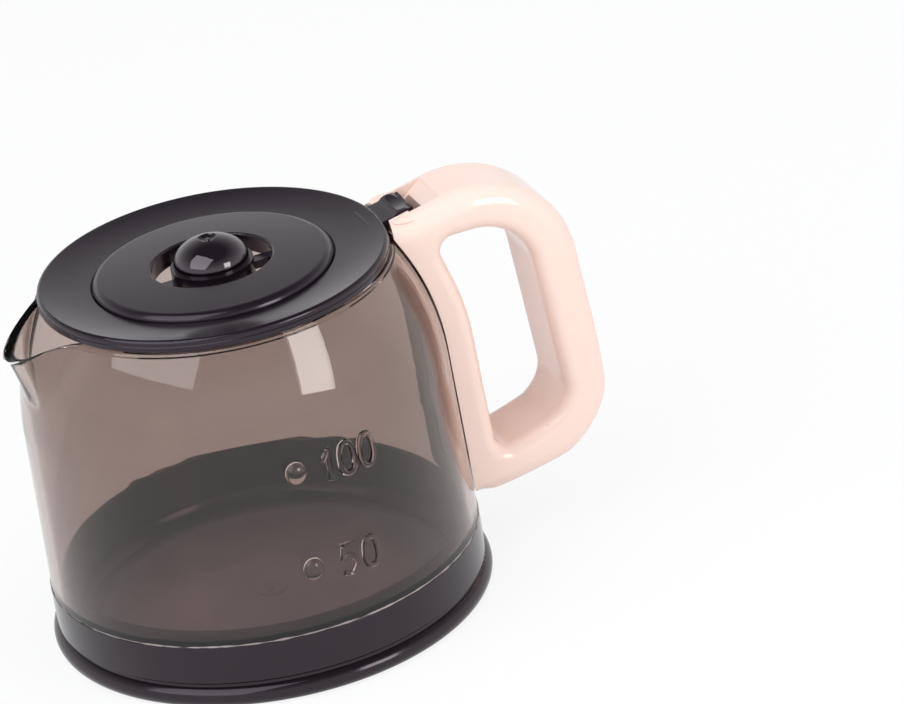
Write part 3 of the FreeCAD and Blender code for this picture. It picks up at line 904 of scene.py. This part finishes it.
def raised_stroke(middle_angle, middle_height, path, closed, sizes):
    """A rounded stroke that follows the wall through points (aside, above) of a path."""
    sink = sizes.stroke_width / 2 - sizes.mark_rise
    curve = bpy.data.curves.new("mark", "CURVE")
    curve.dimensions = "3D"
    curve.bevel_depth = sizes.stroke_width / 2
    curve.bevel_resolution = STROKE_ROUND_STEPS
    curve.use_fill_caps = True
    line = curve.splines.new("POLY")
    line.points.add(len(path) - 1)
    line.use_cyclic_u = closed
    for point, (aside, above) in zip(line.points, path):
        angle = middle_angle + aside / BODY_RADIUS
        place, normal = wall_point(angle, middle_height + above)
        point.co = (*(place - normal * sink), 1.0)
    obj = bpy.data.objects.new("mark", curve)
    bpy.context.scene.collection.objects.link(obj)
    make_active(obj)
    bpy.ops.object.convert(target="MESH")
    merge_doubles(STROKE_DOUBLES, recalculate=True)
    return bpy.context.object


def raised_dot(height, sizes):
    """A low dome on the wall, as a closed ellipsoid that faces outwards."""
    place, normal = wall_point(DOT_ANGLE, height)
    radius = sizes.dot_diameter / 2
    radii = (radius, radius * DOT_TALL_SHARE, sizes.dot_rise)
    return closed_ellipsoid(DOT_SEGMENTS, radii, place, normal.to_track_quat("Z", "Y").to_euler())


# Handle


def ear_swell(side):
    """A low swell over a trunnion's socket, as a closed ellipsoid."""
    place = (HINGE_X, side * SOCKET_END, HINGE_HEIGHT + SWELL_RISE)
    return closed_ellipsoid(SWELL_SEGMENTS, SWELL_RADII, place)


def draw_in(handle, corner, inwards, fade, ease):
    """Draws a corner of the handle's side outline in, fading out around it."""

    def reach(place):
        return math.hypot(place.x - corner.x, place.z - corner.z)

    def is_coarse(edge):
        middle = (edge.verts[0].co + edge.verts[1].co) / 2
        return edge.calc_length() > fade / 4 and reach(middle) < 3 * fade

    for _ in range(REFINE_ROUNDS):
        select_edges(handle, is_coarse)
        bpy.ops.mesh.subdivide(number_cuts=1)
        bpy.ops.object.mode_set(mode="OBJECT")
    for vertex in handle.data.vertices:
        share = math.exp(-((reach(vertex.co) / fade) ** 2) / 2)
        vertex.co += inwards * ease * share


# Operators


class JUG_OT_clear_body(bpy.types.Operator):
    """Smoky clear body with a spout, a rounded rim and lip, and raised numbers and dots"""

    bl_idname = "jug.clear_body"
    bl_label = "Clear body"

    def execute(self, context):
        sizes = context.scene.jug_body
        body = spun_wall("clear_body", wall_profile(sizes.rim_round))
        pull_spout(body, sizes)
        union_with(body, rail_bar())

        tall = sizes.number_height / 2
        low = tall * LOWER_NUMBER_SHARE
        marks = [(HUNDRED_HEIGHT, HUNDRED_ANGLES[0], path, False) for path in one_paths(tall)]
        marks.append((HUNDRED_HEIGHT, HUNDRED_ANGLES[1], zero_path(tall), True))
        marks.append((HUNDRED_HEIGHT, HUNDRED_ANGLES[2], zero_path(tall), True))
        marks.append((FIFTY_HEIGHT, FIFTY_ANGLES[1], zero_path(low), True))
        marks += [(FIFTY_HEIGHT, FIFTY_ANGLES[0], path, False) for path in five_paths(low)]
        for height, angle, path, closed in marks:
            union_with(body, raised_stroke(angle, height, path, closed, sizes))
        for height in (HUNDRED_DOT_HEIGHT, FIFTY_DOT_HEIGHT):
            union_with(body, raised_dot(height, sizes))
        make_active(body)
        bpy.ops.object.shade_smooth_by_angle(angle=WALL_SMOOTH_ANGLE)
        dress(body, smoky_clear_material(sizes.smoke_colour))
        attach(body, "jug")
        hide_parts("jug_body")
        return {"FINISHED"}


class JUG_OT_weld(bpy.types.Operator):
    """Thin uneven weld bead between the clear body and the cup"""

    bl_idname = "jug.weld"
    bl_label = "Weld bead"

    def execute(self, context):
        width = context.scene.jug_body.weld_width
        deselect_all()
        bpy.ops.mesh.primitive_torus_add(
            major_segments=WELD_SEGMENTS,
            minor_segments=WELD_ROUND_SEGMENTS,
            major_radius=BODY_RADIUS + CUP_BAND_PROUD - width / 2,
            minor_radius=width / 2,
            location=(0, 0, SEAM_HEIGHT),
        )
        weld = context.object
        weld.name = "weld_bead"
        apply_place(weld)
        unevenness = bpy.data.textures.new("weld_unevenness", "CLOUDS")
        unevenness.noise_scale = WELD_LUMP_SIZE
        modifier = weld.modifiers.new("uneven", "DISPLACE")
        modifier.texture = unevenness
        modifier.texture_coords = "LOCAL"
        modifier.mid_level = WELD_LUMP_LEVEL
        modifier.strength = width * WELD_LUMP_SHARE
        apply_modifiers(weld)
        bpy.ops.object.shade_smooth()
        dress(weld, moulded_plastic("weld_line", WELD_COLOUR))
        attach(weld, "jug")
        return {"FINISHED"}


class JUG_OT_dark_mouldings(bpy.types.Operator):
    """Dark base cup, lid ring, lid insert and glossy knob"""

    bl_idname = "jug.dark_mouldings"
    bl_label = "Dark mouldings"

    def execute(self, context):
        colours = context.scene.jug_dark
        base = moulded_plastic("dark_base", colours.base_colour)
        # Paints light onto the cup's inner floor
        paint_light_on_cup_floor(base, colours.floor_light_colour)
        lid = moulded_plastic("dark_lid", colours.lid_colour)
        knob = moulded_plastic("dark_knob", colours.knob_colour)
        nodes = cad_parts
        dress(nodes["base_cup"], base)
        dress(nodes["lid_ring"], lid)
        dress(nodes["lid_insert"], lid)
        dress(nodes["lid_knob"], knob)
        return {"FINISHED"}


class JUG_OT_handle(bpy.types.Operator):
    """Cream handle with a softly rounded heel and foot"""

    bl_idname = "jug.handle"
    bl_label = "Handle"

    def execute(self, context):
        settings = context.scene.jug_handle
        handle = merged_copy("handle", "cream_grip")
        for side in (-1, 1):
            union_with(handle, ear_swell(side))
        heel = Vector((HANDLE_FAR - HEEL_INSET, 0, HANDLE_LOW + HEEL_RISE))
        draw_in(handle, heel, HEEL_INWARDS, HEEL_FADE, settings.heel_ease)
        foot = Vector((BODY_RADIUS + FOOT_INSET, 0, HANDLE_LOW))
        draw_in(handle, foot, FOOT_INWARDS, FOOT_FADE, settings.foot_ease)
        make_active(handle)
        bpy.ops.object.shade_smooth_by_angle(angle=HANDLE_SMOOTH_ANGLE)
        weighted = handle.modifiers.new("even_shading", "WEIGHTED_NORMAL")
        weighted.keep_sharp = True
        apply_modifiers(handle)
        dress(handle, moulded_plastic("cream_handle", settings.cream_colour))
        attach(handle, "jug")
        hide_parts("handle")
        return {"FINISHED"}


# Stage


def rolled_axes(back, roll):
    """The right and up directions of a lamp or camera whose back faces a direction."""
    level = Vector((0, 0, 1)).cross(back).normalized()
    raised = back.cross(level)
    right = level * math.cos(roll) + raised * math.sin(roll)
    up = raised * math.cos(roll) - level * math.sin(roll)
    return right, up


def stand_at(obj, place, right, up, back):
    """Links a lamp or camera and stands it at a place, turned to its three directions."""
    bpy.context.scene.collection.objects.link(obj)
    turn = Matrix((right, up, back)).transposed().to_4x4()
    obj.matrix_world = Matrix.Translation(place) @ turn


def soft_lamp(name, azimuth, elevation, roll, distance, width, height, watts, tint, mirrored):
    """A rectangular lamp that looks at the jug from an azimuth and elevation."""
    away = Vector((
        math.cos(azimuth) * math.cos(elevation),
        math.sin(azimuth) * math.cos(elevation),
        math.sin(elevation),
    ))
    data = bpy.data.lights.new(name, "AREA")
    data.shape = "RECTANGLE"
    data.size = width
    data.size_y = height
    data.energy = watts
    data.color = tint
    lamp = bpy.data.objects.new(name, data)
    place = Vector((0, 0, RIM_HEIGHT / 2)) + away * distance
    stand_at(lamp, place, *rolled_axes(away, roll), away)
    lamp.visible_glossy = mirrored
    return lamp


def white_where_seen(tree, lit, white, white_share):
    """Mixes a lit shader with a white one for rays from the camera, a mirror or glass."""
    rays = add_node(tree, "ShaderNodeLightPath").outputs
    seen = math_node(tree, "MAXIMUM", rays["Is Camera Ray"], rays["Is Glossy Ray"])
    seen = math_node(tree, "MAXIMUM", seen, rays["Is Transmission Ray"])
    share = math_node(tree, "MULTIPLY", seen, white_share)
    mix = add_node(tree, "ShaderNodeMixShader", {"Fac": share, 1: lit, 2: white})
    return mix.outputs["Shader"]


def paper_material():
    """Pale paper that the camera, mirrors and glass see as nearly white."""
    paper = bpy.data.materials.new("pale_paper")
    paper.use_nodes = True
    tree = paper.node_tree
    tree.nodes.clear()
    matt = add_node(tree, "ShaderNodeBsdfDiffuse", {"Color": FLOOR_TONE})
    glow = add_node(tree, "ShaderNodeEmission", {"Color": (*WHITE, 1.0), "Strength": 1.0})
    white = glow.outputs["Emission"]
    surface = white_where_seen(tree, matt.outputs["BSDF"], white, FLOOR_WHITE_SHARE)
    add_node(tree, "ShaderNodeOutputMaterial", {"Surface": surface})
    return paper


def white_room():
    """A world that lights softly, and looks white at the horizon and dim overhead."""
    world = bpy.data.worlds.new("white_room")
    world.use_nodes = True
    tree = world.node_tree
    tree.nodes.clear()
    inputs = {"Color": SKY_TINT, "Strength": SKY_STRENGTH}
    sky = add_node(tree, "ShaderNodeBackground", inputs).outputs["Background"]
    height = height_of(tree, coordinates(tree, "Generated"))
    inputs = {"Color": ramp_node(tree, height, ROOM_STOPS), "Strength": 1.0}
    white = add_node(tree, "ShaderNodeBackground", inputs).outputs["Background"]
    surface = white_where_seen(tree, sky, white, 1.0)
    add_node(tree, "ShaderNodeOutputWorld", {"Surface": surface})
    return world


class JUG_OT_stage(bpy.types.Operator):
    """Pale floor, white surroundings, soft lamps and the camera"""

    bl_idname = "jug.stage"
    bl_label = "Stage"

    def execute(self, context):
        scene = context.scene
        stage = scene.jug_stage
        scene.view_settings.view_transform = "Standard"
        scene.world = white_room()

        deselect_all()
        bpy.ops.mesh.primitive_circle_add(
            vertices=FLOOR_SIDES,
            radius=FLOOR_RADIUS,
            fill_type="NGON",
            location=(0, 0, 0),
        )
        floor = context.object
        floor.name = "floor"
        dress(floor, paper_material())

        for name, azimuth, elevation, roll, distance, width, height, watts, tint, mirrored in LAMPS:
            angles = [math.radians(value) for value in (azimuth, elevation, roll)]
            power = watts * stage.lamp_level
            soft_lamp(name, *angles, distance, width, height, power, tint, mirrored)

        back = Vector((
            math.sin(stage.azimuth) * math.cos(stage.elevation),
            -math.cos(stage.azimuth) * math.cos(stage.elevation),
            math.sin(stage.elevation),
        ))
        right, up = rolled_axes(back, stage.roll)
        data = bpy.data.cameras.new("camera")
        data.lens = stage.lens
        data.sensor_width = SENSOR_WIDTH
        data.clip_start = NEAREST_SEEN
        data.clip_end = FARTHEST_SEEN
        camera = bpy.data.objects.new("camera", data)
        place = right * stage.aside + up * stage.above + back * stage.distance
        stand_at(camera, place, right, up, back)
        scene.camera = camera
        return {"FINISHED"}


class JUG_PT_panel(bpy.types.Panel):
    """Lists the jug's settings and pieces."""

    bl_idname = "JUG_PT_panel"
    bl_label = "Toy coffee jug"
    bl_space_type = "VIEW_3D"
    bl_region_type = "UI"
    bl_category = "Toy jug"

    def draw(self, context):
        layout = self.layout
        for name, settings in SETTINGS.items():
            group = getattr(context.scene, name)
            for key in settings.__annotations__:
                layout.prop(group, key)
        for operator in OPERATORS:
            layout.operator(operator.bl_idname)


SETTINGS = {
    "jug_body": JugBodySettings,
    "jug_dark": DarkPlasticSettings,
    "jug_handle": HandleSettings,
    "jug_stage": StageSettings,
}
OPERATORS = [JUG_OT_clear_body, JUG_OT_weld, JUG_OT_dark_mouldings, JUG_OT_handle, JUG_OT_stage]
CLASSES = [*SETTINGS.values(), *OPERATORS, JUG_PT_panel]


def register():
    for entry in CLASSES:
        bpy.utils.register_class(entry)
    for name, settings in SETTINGS.items():
        setattr(bpy.types.Scene, name, PointerProperty(type=settings))


def unregister():
    for name in reversed(SETTINGS):
        delattr(bpy.types.Scene, name)
    for entry in reversed(CLASSES):
        bpy.utils.unregister_class(entry)


def main():
    register()
    bpy.ops.jug.clear_body()
    bpy.ops.jug.weld()
    bpy.ops.jug.dark_mouldings()
    bpy.ops.jug.handle()
    bpy.ops.jug.stage()


if __name__ == "__main__":
    main()
